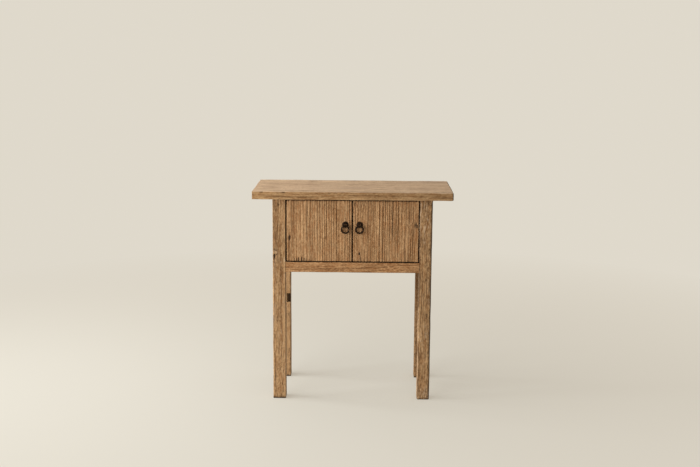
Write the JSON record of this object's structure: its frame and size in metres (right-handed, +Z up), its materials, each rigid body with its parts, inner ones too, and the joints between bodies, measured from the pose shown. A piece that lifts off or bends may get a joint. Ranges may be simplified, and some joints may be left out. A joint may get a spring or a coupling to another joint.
{
  "type": "console table with doors",
  "caption": "Narrow wooden console table on tall square legs, with a shallow two-door cupboard hung under an overhanging plank top and iron ring pulls on the doors.",
  "frame": {"origin": "on the floor under the middle of the table's box", "axes": "+Z up; +X to the right of someone facing the doors; +Y from the doors towards the back"},
  "size_m": [0.822, 0.3839, 0.88],
  "materials": {
    "top_wood": "worn satin wax over weathered grain",
    "leg_wood": "worn wax over weathered grain",
    "rail_wood": "worn wax over weathered grain",
    "door_wood": "brushed open grain, thin wax",
    "panel_wood": "planed, unpolished",
    "pin_wood": "turned hardwood, bare",
    "dark_iron": "hand-forged, dark oiled",
    "screw_steel": "plain"
  },
  "bodies": {
    "carcass": {"top_board_front": "top_wood", "top_board_back": "top_wood", "top_spline": "rail_wood", "top_batten_left": "rail_wood", "top_batten_right": "rail_wood", "door_stop": "rail_wood", "top_batten_screw_1": "screw_steel", "top_batten_screw_2": "screw_steel", "top_batten_screw_3": "screw_steel", "top_batten_screw_4": "screw_steel", "leg_front_left": "leg_wood", "leg_front_right": "leg_wood", "leg_back_left": "leg_wood", "leg_back_right": "leg_wood", "front_lower_rail": "rail_wood", "back_lower_rail": "rail_wood", "left_lower_rail": "rail_wood", "right_lower_rail": "rail_wood", "front_upper_rail": "rail_wood", "back_upper_rail": "rail_wood", "left_upper_rail": "rail_wood", "right_upper_rail": "rail_wood", "left_side_panel": "panel_wood", "right_side_panel": "panel_wood", "back_board_left": "panel_wood", "back_board_middle": "panel_wood", "back_board_right": "panel_wood", "floor_board_front": "panel_wood", "floor_board_middle": "panel_wood", "floor_board_back": "panel_wood"},
    "left_door": {"left_door_plank": "door_wood", "left_door_batten_upper": "panel_wood", "left_door_batten_lower": "panel_wood", "left_door_nail_1": "dark_iron", "left_door_nail_2": "dark_iron", "left_door_nail_3": "dark_iron", "left_door_nail_4": "dark_iron", "left_door_pivot_lower": "pin_wood", "left_door_pivot_upper": "pin_wood", "left_pull_rosette": "dark_iron", "left_pull_eye": "dark_iron"},
    "left_ring": {"left_pull_ring": "dark_iron"},
    "right_door": {"right_door_plank": "door_wood", "right_door_batten_upper": "panel_wood", "right_door_batten_lower": "panel_wood", "right_door_nail_1": "dark_iron", "right_door_nail_2": "dark_iron", "right_door_nail_3": "dark_iron", "right_door_nail_4": "dark_iron", "right_door_pivot_lower": "pin_wood", "right_door_pivot_upper": "pin_wood", "right_pull_rosette": "dark_iron", "right_pull_eye": "dark_iron"},
    "right_ring": {"right_pull_ring": "dark_iron"}
  },
  "joints": [
    {"name": "left_door_hinge", "type": "hinge", "parent": "carcass", "child": "left_door", "pos_m": [-0.259, -0.1645, 0.718], "axis": [0, 0, -1], "range_deg": [0, 100]},
    {"name": "right_door_hinge", "type": "hinge", "parent": "carcass", "child": "right_door", "pos_m": [0.259, -0.1645, 0.718], "axis": [0, 0, 1], "range_deg": [0, 100]},
    {"name": "left_ring_swing", "type": "hinge", "parent": "left_door", "child": "left_ring", "pos_m": [-0.029, -0.1873, 0.7407], "axis": [-1, 0, 0], "range_deg": [-10, 175]},
    {"name": "right_ring_swing", "type": "hinge", "parent": "right_door", "child": "right_ring", "pos_m": [0.029, -0.1873, 0.7407], "axis": [-1, 0, 0], "range_deg": [-10, 175]}
  ]
}
